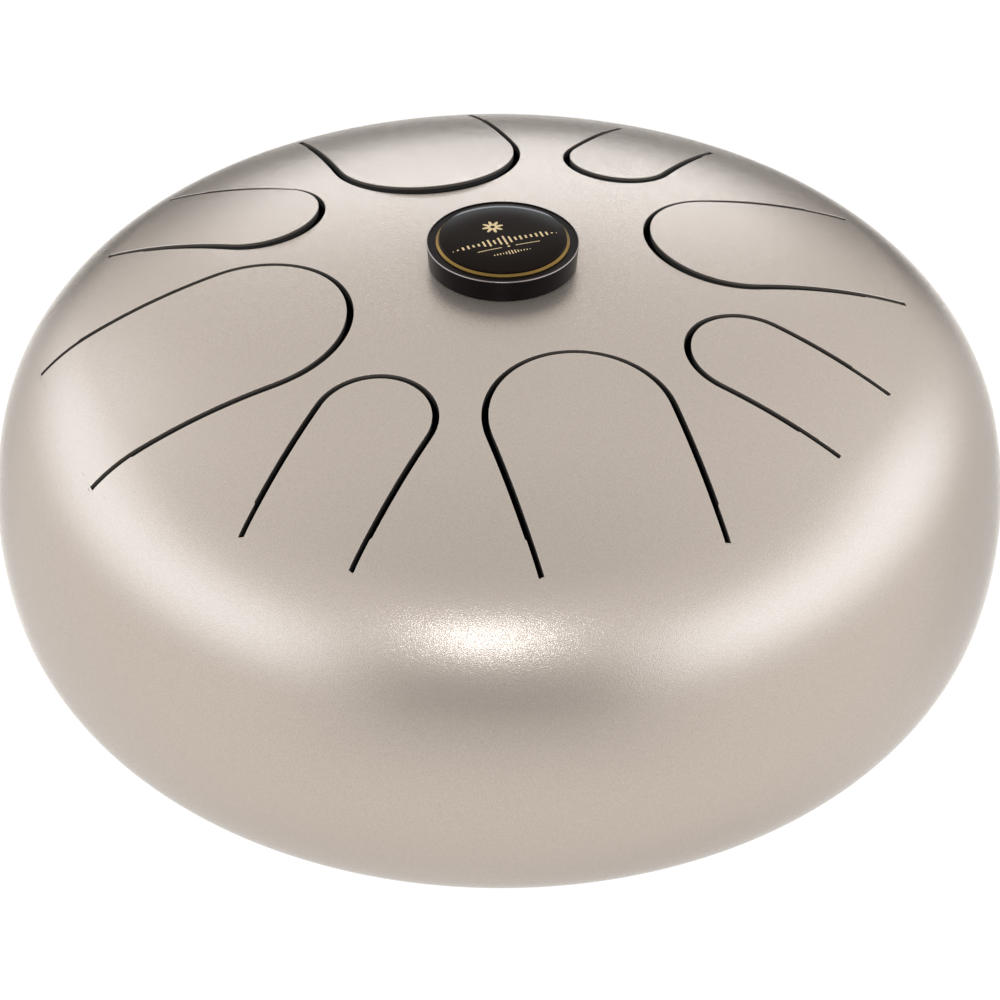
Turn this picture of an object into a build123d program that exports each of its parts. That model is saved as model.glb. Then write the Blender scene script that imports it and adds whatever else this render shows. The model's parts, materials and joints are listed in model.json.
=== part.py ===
"""Steel tongue drum, 300 mm across, with eight tongues, a crown badge and four rubber feet.

Millimetres, +Z up. The origin is on the ground under the middle of the drum, and -Y is the front.
The two shells are the same dished pressing, one the mirror of the other, welded edge to edge at the
widest line. A U-shaped slot frees each tongue: its nose points at the badge and its root is on the
shoulder. The last stretch of a slot is a thinner tuning cut, made when the tongue is brought to pitch.
The tongues stand a little proud of the dome at their noses.
"""

import os
from collections import namedtuple
from math import asin, atan2, cos, degrees, radians, sin, sqrt

from build123d import *

# The dish: four tangent arcs from the crown to the widest line. Each angle is the slope of the
# surface normal above the horizontal where one arc meets the next.
DRUM_RADIUS = 150.0
WALL = 2.5
CROWN_ARC = 412.0
HAUNCH_ARC = 167.0
RIM_ARC = 98.5
CROWN_ANGLE = 79.3
HAUNCH_ANGLE = 63.3
SHOULDER_ANGLE = 12.9

# The shoulder's radius is what makes the four arcs add up to the drum's radius.
SHOULDER_ARC = (
    DRUM_RADIUS
    - CROWN_ARC * cos(radians(CROWN_ANGLE))
    - HAUNCH_ARC * (cos(radians(HAUNCH_ANGLE)) - cos(radians(CROWN_ANGLE)))
    - RIM_ARC * (1 - cos(radians(SHOULDER_ANGLE)))
) / (cos(radians(SHOULDER_ANGLE)) - cos(radians(HAUNCH_ANGLE)))

ARCS = (
    (CROWN_ARC, 90.0, CROWN_ANGLE),
    (HAUNCH_ARC, CROWN_ANGLE, HAUNCH_ANGLE),
    (SHOULDER_ARC, HAUNCH_ANGLE, SHOULDER_ANGLE),
    (RIM_ARC, SHOULDER_ANGLE, 0.0),
)
DISH_DEPTH = sum(arc * (sin(radians(start)) - sin(radians(end))) for arc, start, end in ARCS)

# Heights of the drum above the ground
GROUND_GAP = 7.0
WIDEST = GROUND_GAP + DISH_DEPTH
CROWN = WIDEST + DISH_DEPTH

# Slots and tongues. Nose is the radius at which a slot crosses the tongue's own line, cut is where
# the thinner tuning cut begins, root is where the tongue joins the shell, lift is how far the nose
# stands proud, and side is how far the tongue's line passes the drum's axis, anticlockwise.
SLOT = 2.0
TUNING_CUT = 1.65
ROOT_GAP = 0.15
FIRST_AZIMUTH = 18.0
AZIMUTH_STEP = 45.0
Tongue = namedtuple("Tongue", "width nose cut root lift side")
TONGUES = (
    Tongue(52.5, 46.5, 110.0, 121.5, 0.5, 0.0),
    Tongue(33.5, 61.5, 104.5, 117.0, 0.2, -0.7),
    Tongue(47.5, 45.0, 104.0, 117.5, 1.2, -1.5),
    Tongue(29.5, 60.0, 101.5, 111.0, 0.9, -0.8),
    Tongue(53.5, 44.5, 104.0, 116.0, 1.6, 0.4),
    Tongue(34.5, 60.5, 109.5, 122.5, 1.4, 0.9),
    Tongue(59.0, 46.0, 119.5, 132.5, 0.5, 0.4),
    Tongue(33.0, 61.0, 115.0, 125.0, 0.1, 0.8),
)

# Weld between the shells: a V groove filled and ground flush
WELD_DEPTH = 1.3

# Sound port in the lower shell
PORT_RADIUS = 30.0

# Feet and their fasteners, along a line square to the lower shell
FOOT_CIRCLE = 58.0
FOOT_AZIMUTHS = (45.0, 135.0, 225.0, 315.0)
FOOT_RADIUS = 11.0
FOOT_TAPER = 8.0
FOOT_EDGE = 0.8
SLEEVE_LENGTH = 6.0
SLEEVE_RADIUS = 3.2
SLEEVE_BORE = 2.15
FLANGE_RADIUS = 5.2
FLANGE_THICK = 1.0
RECESS_RADIUS = 5.4
SCREW_RADIUS = 2.0
SCREW_LENGTH = 16.0
SCREW_HEAD_RADIUS = 4.0
SCREW_HEAD_HEIGHT = 2.4
SCREW_HOLE_RADIUS = 2.25
DRIVE_WIDTH = 1.1
DRIVE_LENGTH = 4.2
DRIVE_DEPTH = 1.5
WASHER_RADIUS = 4.5
WASHER_THICK = 0.8
WASHER_SEAT = 0.03
NUT_ACROSS_FLATS = 7.0
NUT_HEIGHT = 5.0
NUT_BORE = 2.02

# Badge, slightly off the drum's axis as it was stuck on by hand. Heights are above the crown.
BADGE_OFFSET = 0.6
CUP_RADIUS = 22.2
CUP_FOOT_RADIUS = 21.6
CUP_FOOT = -0.4
CUP_TOP = 6.5
CUP_EDGE = 0.25
LIP = 0.5
LEDGE_DROP = 0.3
POCKET_RADIUS = 19.5
POCKET_FLOOR = 3.4
PAD_RADIUS = 19.0
PAD_TOP = 0.8
PAD_ROOM = 0.3
RING_INNER = 18.65
RING_TOP = 7.1
RING_FALL = 0.5
PLATE_TOP = 5.9
DOME_EDGE = 7.6
DOME_TOP = 8.9


def on_dish(slope, depth=0.0):
    """Radius and height above the widest line, at a slope of the normal, moved into the metal."""
    across, up = DRUM_RADIUS, 0.0
    for arc, start, end in reversed(ARCS):
        reach = min(max(slope, end), start)
        across += arc * (cos(radians(reach)) - cos(radians(end)))
        up += arc * (sin(radians(reach)) - sin(radians(end)))
    return across - depth * cos(radians(slope)), up - depth * sin(radians(slope))


def dish_line(depth, side):
    """The dish's four arcs as a line from crown to widest line, above it or below it by side."""
    for _, start, end in ARCS:
        middle = (start + end) / 2
        points = [on_dish(slope, depth) for slope in (start, middle, end)]
        ThreePointArc(*[(across, WIDEST + side * up) for across, up in points])


def dish_section(side):
    """Section of a shell's wall, to be revolved. side is 1 for the upper shell, -1 for the lower."""
    with BuildSketch(Plane.XZ) as section:
        with BuildLine():
            dish_line(0.0, side)
            dish_line(WALL, side)
            Line((0, WIDEST + side * DISH_DEPTH), (0, WIDEST + side * (DISH_DEPTH - WALL)))
            Line((DRUM_RADIUS, WIDEST), (DRUM_RADIUS - WALL, WIDEST))
        make_face()
    return section.sketch


def groove_section():
    """Section of the V groove that the weld fills, wide enough to cut right out of the shells."""
    reach = WELD_DEPTH + 1
    with BuildSketch(Plane.XZ) as section:
        with BuildLine():
            Polyline(
                (DRUM_RADIUS - WELD_DEPTH, WIDEST),
                (DRUM_RADIUS - WELD_DEPTH + reach, WIDEST + reach),
                (DRUM_RADIUS - WELD_DEPTH + reach, WIDEST - reach),
                close=True,
            )
        make_face()
    return section.sketch


def tongue_plane(number):
    """Plan plane at the widest line whose x runs outwards along a tongue. Numbers start at 0."""
    azimuth, side = radians(FIRST_AZIMUTH + AZIMUTH_STEP * number), TONGUES[number].side
    origin = (side * cos(azimuth), side * sin(azimuth), WIDEST)
    return Plane(origin=origin, x_dir=(sin(azimuth), -cos(azimuth), 0), z_dir=(0, 0, 1))


def nose_centre(tongue):
    return tongue.nose + SLOT + tongue.width / 2


def surface_height(radius):
    """Height of the dish's middle surface above the widest line, at a radius from the axis."""
    low, high = 0.0, 90.0
    for _ in range(50):
        slope = (low + high) / 2
        if on_dish(slope, WALL / 2)[0] > radius:
            low = slope
        else:
            high = slope
    return on_dish(low, WALL / 2)[1]


def straight(start, end, width):
    """Part of a tongue's outline: a strip along the tongue's line."""
    with Locations(((start + end) / 2, 0)):
        Rectangle(end - start, width)


def make_upper_shell():
    wall, groove = dish_section(1), groove_section()
    with BuildPart() as shell:
        revolve(wall, axis=Axis.Z)
        revolve(groove, axis=Axis.Z, mode=Mode.SUBTRACT)
        for number, tongue in enumerate(TONGUES):
            centre = nose_centre(tongue)
            with BuildSketch(tongue_plane(number)):
                with Locations((centre, 0)):
                    Circle(tongue.width / 2 + SLOT)
                straight(centre, tongue.cut, tongue.width + 2 * SLOT)
                straight(centre, tongue.root, tongue.width + 2 * TUNING_CUT)
            extrude(amount=DISH_DEPTH + 1, mode=Mode.SUBTRACT)
    return shell.part


def make_tongue(number):
    tongue = TONGUES[number]
    centre = nose_centre(tongue)
    plane = tongue_plane(number)
    wall = dish_section(1)
    with BuildPart() as blade:
        revolve(wall, axis=Axis.Z)
        with BuildSketch(plane):
            with Locations((centre, 0)):
                Circle(tongue.width / 2)
            straight(centre, tongue.root - ROOT_GAP, tongue.width)
        extrude(amount=DISH_DEPTH + 1, mode=Mode.INTERSECT)
    root = plane.from_local_coords((tongue.root, 0, surface_height(tongue.root)))
    length = tongue.root - tongue.nose - SLOT
    return blade.part.rotate(Axis(root, plane.y_dir), degrees(asin(tongue.lift / length)))


def make_lower_shell():
    wall, groove = dish_section(-1), groove_section()
    with BuildPart() as shell:
        revolve(wall, axis=Axis.Z)
        revolve(groove, axis=Axis.Z, mode=Mode.SUBTRACT)
        with BuildSketch(Plane.XY):
            Circle(PORT_RADIUS)
        extrude(amount=WIDEST / 2, mode=Mode.SUBTRACT)
        for azimuth in FOOT_AZIMUTHS:
            with BuildSketch(seat_plane(azimuth)):
                Circle(SCREW_HOLE_RADIUS)
            extrude(amount=2 * WALL, both=True, mode=Mode.SUBTRACT)
    return shell.part


def make_seam_weld():
    edge_radius = DRUM_RADIUS - WELD_DEPTH**2 / (2 * RIM_ARC)
    edge_height = edge_radius - DRUM_RADIUS + WELD_DEPTH
    with BuildPart() as weld:
        with BuildSketch(Plane.XZ):
            with BuildLine():
                low, high = (edge_radius, WIDEST - edge_height), (edge_radius, WIDEST + edge_height)
                ThreePointArc(low, (DRUM_RADIUS, WIDEST), high)
                Polyline(high, (DRUM_RADIUS - WELD_DEPTH, WIDEST), low)
            make_face()
        revolve(axis=Axis.Z)
    return weld.part


def seat_plane(azimuth):
    """Plane on the lower shell where a foot sits: its z runs out of the shell, to the ground."""
    lean = asin(FOOT_CIRCLE / CROWN_ARC)
    turn = radians(azimuth)
    outwards = Vector(sin(lean) * sin(turn), -sin(lean) * cos(turn), -cos(lean))
    ball_centre = Vector(0, 0, GROUND_GAP + CROWN_ARC)
    return Plane(
        origin=ball_centre + outwards * CROWN_ARC,
        x_dir=(cos(turn), sin(turn), 0),
        z_dir=outwards,
    )


def clear_of_lower_shell():
    """Takes away whatever reaches into the lower shell, whose middle is part of a ball."""
    with Locations((0, 0, GROUND_GAP + CROWN_ARC)):
        Sphere(CROWN_ARC, mode=Mode.SUBTRACT)


def make_foot(azimuth):
    seat = seat_plane(azimuth)
    with BuildPart() as foot:
        with BuildSketch(seat.offset(-2)):
            Circle(FOOT_RADIUS)
        extrude(amount=2 * FOOT_RADIUS, taper=FOOT_TAPER)
        split(bisect_by=Plane.XY, keep=Keep.TOP)
        sole_edge = foot.edges().group_by(Axis.Z)[0]
        fillet(sole_edge, FOOT_EDGE)
        clear_of_lower_shell()
        with BuildSketch(seat.offset(SLEEVE_LENGTH)):
            Circle(RECESS_RADIUS)
        extrude(amount=2 * FOOT_RADIUS, mode=Mode.SUBTRACT)
        with BuildSketch(seat.offset(SLEEVE_LENGTH - FLANGE_THICK)):
            Circle(FLANGE_RADIUS)
        extrude(amount=FLANGE_THICK, mode=Mode.SUBTRACT)
        with BuildSketch(seat.offset(-2)):
            Circle(SLEEVE_RADIUS)
        extrude(amount=SLEEVE_LENGTH + 2, mode=Mode.SUBTRACT)
    return foot.part


def make_foot_sleeves():
    """Steel bushes moulded into the feet, so that the screws don't crush the rubber."""
    with BuildPart() as sleeves:
        for azimuth in FOOT_AZIMUTHS:
            seat = seat_plane(azimuth)
            with BuildSketch(seat.offset(-1)):
                Circle(SLEEVE_RADIUS)
            extrude(amount=SLEEVE_LENGTH + 1)
            with BuildSketch(seat.offset(SLEEVE_LENGTH - FLANGE_THICK)):
                Circle(FLANGE_RADIUS)
            extrude(amount=FLANGE_THICK)
            with BuildSketch(seat.offset(-1)):
                Circle(SLEEVE_BORE)
            extrude(amount=SLEEVE_LENGTH + 2, mode=Mode.SUBTRACT)
        clear_of_lower_shell()
    return sleeves.part


def make_foot_screws():
    """M4 pan-head screws with a cross recess, heads in the soles of the feet."""
    with BuildPart() as screws:
        for azimuth in FOOT_AZIMUTHS:
            seat = seat_plane(azimuth)
            head = seat.offset(SLEEVE_LENGTH)
            with BuildSketch(head):
                Circle(SCREW_RADIUS)
            extrude(amount=-SCREW_LENGTH)
            with BuildSketch(head):
                Circle(SCREW_HEAD_RADIUS)
            extrude(amount=SCREW_HEAD_HEIGHT, taper=8)
            with BuildSketch(head.offset(SCREW_HEAD_HEIGHT)):
                Rectangle(DRIVE_LENGTH, DRIVE_WIDTH)
                Rectangle(DRIVE_WIDTH, DRIVE_LENGTH)
            extrude(amount=-DRIVE_DEPTH, mode=Mode.SUBTRACT)
    return screws.part


def make_foot_washers():
    with BuildPart() as washers:
        for azimuth in FOOT_AZIMUTHS:
            with BuildSketch(seat_plane(azimuth).offset(-WALL - WASHER_SEAT)):
                Circle(WASHER_RADIUS)
                Circle(SLEEVE_BORE, mode=Mode.SUBTRACT)
            extrude(amount=-WASHER_THICK)
    return washers.part


def make_foot_nuts():
    """M4 locking nuts inside the drum, reached through the sound port."""
    with BuildPart() as nuts:
        for azimuth in FOOT_AZIMUTHS:
            with BuildSketch(seat_plane(azimuth).offset(-WALL - WASHER_SEAT - WASHER_THICK)):
                RegularPolygon(NUT_ACROSS_FLATS / sqrt(3), 6)
                Circle(NUT_BORE, mode=Mode.SUBTRACT)
            extrude(amount=-NUT_HEIGHT)
    return nuts.part


def badge_plane(height):
    """Level plane on the badge's own axis, at a height above the crown."""
    return Plane(origin=(BADGE_OFFSET, 0, CROWN + height), z_dir=(0, 0, 1))


def make_badge_pad():
    """Foam pad with adhesive, cut flat on top and pressed to the crown below."""
    with BuildPart() as pad:
        with BuildSketch(badge_plane(-2)):
            Circle(PAD_RADIUS)
        extrude(amount=PAD_TOP + 2)
        with Locations((0, 0, CROWN - CROWN_ARC)):
            Sphere(CROWN_ARC, mode=Mode.SUBTRACT)
    return pad.part


def make_badge_cup():
    with BuildPart() as cup:
        with BuildSketch(badge_plane(CUP_FOOT)):
            Circle(CUP_FOOT_RADIUS)
        draft = degrees(atan2(CUP_RADIUS - CUP_FOOT_RADIUS, CUP_TOP - CUP_FOOT))
        extrude(amount=CUP_TOP - CUP_FOOT, taper=-draft)
        rim = cup.edges().filter_by(GeomType.CIRCLE).sort_by(Axis.Z)[-1]
        fillet(rim, CUP_EDGE)
        with BuildSketch(badge_plane(CUP_TOP - LEDGE_DROP)):
            Circle(CUP_RADIUS - LIP)
        extrude(amount=LEDGE_DROP, mode=Mode.SUBTRACT)
        with BuildSketch(badge_plane(POCKET_FLOOR)):
            Circle(POCKET_RADIUS)
        extrude(amount=CUP_TOP - POCKET_FLOOR, mode=Mode.SUBTRACT)
        with BuildSketch(badge_plane(CUP_FOOT)):
            Circle(PAD_RADIUS + PAD_ROOM)
        extrude(amount=PAD_TOP - CUP_FOOT, mode=Mode.SUBTRACT)
    return cup.part


def badge_section():
    """Plane through the badge's own axis: x outwards from the axis, y up from the crown."""
    return Plane(origin=(BADGE_OFFSET, 0, CROWN), x_dir=(1, 0, 0), z_dir=(0, -1, 0))


def make_badge_ring():
    """Gold trim ring between plate and cup. Its top falls outwards."""
    with BuildPart() as ring:
        with BuildSketch(badge_section()):
            with BuildLine():
                Polyline(
                    (RING_INNER, POCKET_FLOOR),
                    (POCKET_RADIUS, POCKET_FLOOR),
                    (POCKET_RADIUS, RING_TOP - RING_FALL),
                    (RING_INNER, RING_TOP),
                    close=True,
                )
            make_face()
        revolve(axis=Axis((BADGE_OFFSET, 0, CROWN), (0, 0, 1)))
    return ring.part


def make_badge_plate():
    with BuildPart() as plate:
        with BuildSketch(badge_plane(POCKET_FLOOR)):
            Circle(RING_INNER)
        extrude(amount=PLATE_TOP - POCKET_FLOOR)
    return plate.part


def make_badge_dome():
    """Clear resin poured on the plate: a short straight edge under a shallow dome."""
    with BuildPart() as dome:
        rise = DOME_TOP - DOME_EDGE
        ball = (RING_INNER**2 + rise**2) / (2 * rise)
        half = RING_INNER / 2
        half_height = DOME_TOP - ball + sqrt(ball**2 - half**2)
        with BuildSketch(badge_section()):
            with BuildLine():
                Polyline((0, DOME_TOP), (0, PLATE_TOP), (RING_INNER, PLATE_TOP), (RING_INNER, DOME_EDGE))
                ThreePointArc((RING_INNER, DOME_EDGE), (half, half_height), (0, DOME_TOP))
            make_face()
        revolve(axis=Axis((BADGE_OFFSET, 0, CROWN), (0, 0, 1)))
    return dome.part


def write(label, piece):
    piece.label = label
    export_step(piece, f"parts/{label}.step")


os.makedirs("parts", exist_ok=True)
write("upper_shell", make_upper_shell())
write("lower_shell", make_lower_shell())
write("seam_weld", make_seam_weld())
for number in range(len(TONGUES)):
    write(f"tongue_{number + 1}", make_tongue(number))
for number, azimuth in enumerate(FOOT_AZIMUTHS):
    write(f"foot_{number + 1}", make_foot(azimuth))
write("foot_sleeves", make_foot_sleeves())
write("foot_screws", make_foot_screws())
write("foot_washers", make_foot_washers())
write("foot_nuts", make_foot_nuts())
write("badge_pad", make_badge_pad())
write("badge_cup", make_badge_cup())
write("badge_ring", make_badge_ring())
write("badge_plate", make_badge_plate())
write("badge_dome", make_badge_dome())
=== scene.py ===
"""Looks of a steel tongue drum: two dished shells, eight tongues cut by U-shaped slots, a crown badge.

The surfaces are worked out in millimetres, in the CAD model's frame, and go into their meshes in
metres. Plan points are (x, y). A tongue's own plan points are (along, across): along runs outwards
from the drum's axis over the middle of the tongue, and across runs anticlockwise from it.
"""

import json
from collections import namedtuple

import bpy
import numpy as np
from mathutils import Matrix, Vector


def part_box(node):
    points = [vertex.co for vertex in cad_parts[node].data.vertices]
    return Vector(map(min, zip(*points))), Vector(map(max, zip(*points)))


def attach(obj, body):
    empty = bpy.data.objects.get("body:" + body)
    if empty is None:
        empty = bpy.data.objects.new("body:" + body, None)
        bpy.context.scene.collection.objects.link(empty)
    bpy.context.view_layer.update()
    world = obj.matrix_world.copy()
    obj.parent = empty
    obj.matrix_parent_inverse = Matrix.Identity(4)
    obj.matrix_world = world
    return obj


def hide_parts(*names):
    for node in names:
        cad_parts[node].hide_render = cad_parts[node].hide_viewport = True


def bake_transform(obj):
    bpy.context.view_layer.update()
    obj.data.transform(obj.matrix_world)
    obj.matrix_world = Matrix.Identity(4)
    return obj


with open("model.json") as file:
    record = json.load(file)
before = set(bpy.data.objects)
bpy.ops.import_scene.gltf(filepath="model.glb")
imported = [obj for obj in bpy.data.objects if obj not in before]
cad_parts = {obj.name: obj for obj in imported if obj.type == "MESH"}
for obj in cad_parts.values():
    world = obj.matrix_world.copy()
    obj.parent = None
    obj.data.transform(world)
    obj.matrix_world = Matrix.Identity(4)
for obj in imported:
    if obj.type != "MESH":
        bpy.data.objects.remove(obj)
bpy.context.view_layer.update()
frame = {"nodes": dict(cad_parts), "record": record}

MM = 0.001

# The dish: four tangent arcs, each with the slope of its normal above level where it starts, on the
# crown's side, and where it ends
DRUM_RADIUS = 150.0
WALL = 2.5
CROWN_ARC, HAUNCH_ARC, RIM_ARC = 412.0, 167.0, 98.5
CROWN_SLOPE, HAUNCH_SLOPE, SHOULDER_SLOPE = np.radians((79.3, 63.3, 12.9))
SHOULDER_ARC = (
    DRUM_RADIUS
    - CROWN_ARC * np.cos(CROWN_SLOPE)
    - HAUNCH_ARC * (np.cos(HAUNCH_SLOPE) - np.cos(CROWN_SLOPE))
    - RIM_ARC * (1 - np.cos(SHOULDER_SLOPE))
) / (np.cos(SHOULDER_SLOPE) - np.cos(HAUNCH_SLOPE))
ARCS = (
    (CROWN_ARC, np.pi / 2, CROWN_SLOPE),
    (HAUNCH_ARC, CROWN_SLOPE, HAUNCH_SLOPE),
    (SHOULDER_ARC, HAUNCH_SLOPE, SHOULDER_SLOPE),
    (RIM_ARC, SHOULDER_SLOPE, 0.0),
)

# Slots and tongues, as cut: nose, cut and root are distances along the tongue from the drum's axis,
# lift is how far the nose stands proud of the dish, and side is how far the tongue's line passes the
# axis, anticlockwise. From cut to root the slot is as narrow as TUNING_CUT. It narrows over
# STEP_LENGTH, and its square ends have corners rounded by END_ROUND. Azimuths are in degrees from the
# front to the right. A struck tongue bends over the BEND_LENGTH next to its root; the script works out
# the ends of that stretch but does not make the tongue bend
SLOT = 2.0
TUNING_CUT = 1.65
STEP_LENGTH = 0.7
END_ROUND = 0.35
FIRST_AZIMUTH = 18.0
AZIMUTH_STEP = 45.0
Tongue = namedtuple("Tongue", "width nose cut root lift side")
TONGUES = (
    Tongue(52.5, 46.5, 110.0, 121.5, 0.5, 0.0),
    Tongue(33.5, 61.5, 104.5, 117.0, 0.2, -0.7),
    Tongue(47.5, 45.0, 104.0, 117.5, 1.2, -1.5),
    Tongue(29.5, 60.0, 101.5, 111.0, 0.9, -0.8),
    Tongue(53.5, 44.5, 104.0, 116.0, 1.6, 0.4),
    Tongue(34.5, 60.5, 109.5, 122.5, 1.4, 0.9),
    Tongue(59.0, 46.0, 119.5, 132.5, 0.5, 0.4),
    Tongue(33.0, 61.0, 115.0, 125.0, 0.1, 0.8),
)
BEND_LENGTH = 20.0

# Rounding of every cut edge of the sheet, and how far down a cut's wall the dark brown painted shade goes
# before the near-black painted shade starts
EDGE_ROUND = 0.15
SHADE_START_DEPTH = 0.8

# How the shell's mesh is laid out round each slot: the tip of the nose faces an inner circle, the
# sides face a radial line, and the root faces an outer circle
INNER_CIRCLE = 38.0
OUTER_CIRCLE = 140.0
TIP_ANGLE = np.radians(60)
TIP_STEPS = 16
SIDE_STEPS = (8, 12, 6, 5, 9)
SIDE_RADII = (INNER_CIRCLE, 66.0, 105.0, 111.0, 122.0, OUTER_CIRCLE)
SECTOR_RINGS, INNER_SECTOR_RINGS, DISC_RINGS = 14, 8, 8
UPPER_BAND, UPPER_INNER_BAND, LOWER_BAND, LOWER_INNER_BAND, WELD_BAND = 18, 10, 56, 30, 4
ROUND_STEPS = 3

# Sound port and weld
PORT_RADIUS = 30.0
WELD_DEPTH = 1.3

# The badge, in heights above the crown. It sits BADGE_OFFSET to the right of the drum's axis and was
# stuck on turned anticlockwise by BADGE_TURN
BADGE_OFFSET = 0.6
CUP_RADIUS, CUP_FOOT_RADIUS = 22.2, 21.6
CUP_FOOT, CUP_TOP, CUP_EDGE = -0.4, 6.5, 0.25
LIP, LEDGE_DROP = 0.5, 0.3
POCKET_RADIUS, POCKET_FLOOR = 19.5, 3.4
PAD_ROOM_RADIUS, PAD_TOP = 19.3, 0.8
RING_INNER, RING_TOP, RING_FALL = 18.65, 7.1, 0.5
PLATE_TOP, DOME_TOP, DOME_SHOULDER = 5.9, 8.9, 0.5
DOME_TILT = np.radians(13.5)
BADGE_TURN = np.radians(19.5)
BADGE_STEPS, CORNER_STEPS, DOME_RINGS, SHOULDER_STEPS = 192, 4, 32, 8

WIDEST = sum(corner.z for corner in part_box("seam_weld")) / 2 / MM


# ---------------------------------------------------------------------------------------- the dish


def on_dish(slope, depth=0.0):
    """Radius, and height above the widest line, where the dish's normal stands at slope above level.

    Each arc adds what it covers between its end and that slope: arc times the change of the slope's
    cosine across, and of its sine upwards. depth then moves the point into the metal.
    """
    radius = DRUM_RADIUS - depth * np.cos(slope)
    height = -depth * np.sin(slope)
    for arc, start, end in ARCS:
        reach = np.clip(slope, end, start)
        radius = radius + arc * (np.cos(reach) - np.cos(end))
        height = height + arc * (np.sin(reach) - np.sin(end))
    return radius, height


def slope_at(radius, depth=0.0):
    """Slope of the normal where the dish is radius from the axis: on_dish the other way round.

    On one arc the radius is the arc's own centre plus (arc - depth) times the slope's cosine. From
    upright at the crown, each arc takes off the angle that it turns before that radius.
    """
    slope = np.full(np.shape(radius), np.pi / 2)
    for arc, start, end in ARCS:
        centre = on_dish(end)[0] - arc * np.cos(end)
        cosine = np.clip((radius - centre) / (arc - depth), np.cos(start), np.cos(end))
        slope = slope - (start - np.arccos(cosine))
    return slope


CROWN = WIDEST + on_dish(np.pi / 2)[1]


def sheet(plan, depth=0.0, rise=None):
    """Points and normals of the upper dish above plan points, depth below its outer face.

    The height is the dish's at that radius. The normal leans outwards by the cotangent of its slope.
    rise gives a height to add and its gradient in plan, which tilts the normal back.
    """
    radius = np.hypot(plan[..., 0], plan[..., 1])
    slope = slope_at(radius, depth)
    height = WIDEST + on_dish(slope, depth)[1]
    lean = plan * (1 / np.tan(slope) / np.maximum(radius, 1e-9))[..., None]
    if rise is not None:
        added, gradient = rise(plan)
        height = height + added
        lean = lean - gradient
    points = np.concatenate([plan, height[..., None]], axis=-1)
    return points, unit(np.concatenate([lean, np.ones_like(lean[..., :1])], axis=-1))


def unit(vectors):
    """Each vector over its own length."""
    return vectors / np.linalg.norm(vectors, axis=-1, keepdims=True)


# ---------------------------------------------------------------------------------------- meshes


class Skin:
    """Grids of points, each with a normal of its own, that become one closed mesh."""

    def __init__(self):
        self.points, self.normals, self.faces, self.slots, self.count = [], [], [], [], 0

    def grid(self, points, normals, closed=False, slot=0):
        """Adds quads between neighbouring rows and columns, and from the last column to the first
        where closed. Each quad is turned so that it faces the way its normals point. slot is the
        number of the piece's material that they get."""
        rows, columns = points.shape[:2]
        index = np.arange(rows * columns).reshape(rows, columns)
        if closed:
            index = np.concatenate([index, index[:, :1]], axis=1)
        quads = np.stack([index[:-1, :-1], index[:-1, 1:], index[1:, 1:], index[1:, :-1]], axis=-1)
        quads = quads.reshape(-1, 4)
        flat, facing = points.reshape(-1, 3), normals.reshape(-1, 3)
        corners = flat[quads]
        across = np.cross(corners[:, 2] - corners[:, 0], corners[:, 3] - corners[:, 1])
        wrong = (across * facing[quads].sum(axis=1)).sum(axis=1) < 0
        quads[wrong] = quads[wrong, ::-1]
        self.points.append(flat)
        self.normals.append(facing)
        self.faces.append(quads + self.count)
        self.slots.append(np.full(len(quads), slot))
        self.count += len(flat)

    def piece(self, name):
        """Makes the object. Points at the same place become one vertex, a quad that loses a corner
        to this becomes a triangle, and every face corner keeps its grid's normal."""
        points, normals = np.concatenate(self.points), np.concatenate(self.normals)
        faces, slots = np.concatenate(self.faces), np.concatenate(self.slots)
        _, first, vertex = np.unique(
            np.round(points, 5), axis=0, return_index=True, return_inverse=True
        )
        vertex = vertex.reshape(-1)
        merged = vertex[faces]
        same = merged == np.roll(merged, -1, axis=1)
        whole = ~same.any(axis=1)
        pinched = same.sum(axis=1) == 1
        keep = np.argsort(same[pinched], axis=1, kind="stable")[:, :3]
        keep = np.sort(keep, axis=1)
        triangles = np.take_along_axis(faces[pinched], keep, axis=1)
        corners = np.concatenate([faces[whole].reshape(-1), triangles.reshape(-1)])
        polygons = vertex[faces[whole]].tolist() + vertex[triangles].tolist()
        mesh = bpy.data.meshes.new(name)
        mesh.from_pydata((points[first] * MM).tolist(), [], polygons, shade_flat=False)
        mesh.polygons.foreach_set("material_index", np.concatenate([slots[whole], slots[pinched]]))
        mesh.normals_split_custom_set(normals[corners].tolist())
        piece = bpy.data.objects.new(name, mesh)
        bpy.context.scene.collection.objects.link(piece)
        return piece


def lathe(skin, outline, facing, angles, across=0.0, slot=0):
    """Carries an outline of (radius, height) points round the upright axis at x = across."""
    turn = np.stack([np.sin(angles), -np.cos(angles)], axis=-1)

    def carried(section):
        upwards = np.broadcast_to(section[:, None, 1:], (len(section), len(angles), 1))
        return np.concatenate([section[:, None, :1] * turn, upwards], axis=-1)

    skin.grid(carried(outline) + np.array([across, 0, 0]), carried(facing), closed=True, slot=slot)


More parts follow.
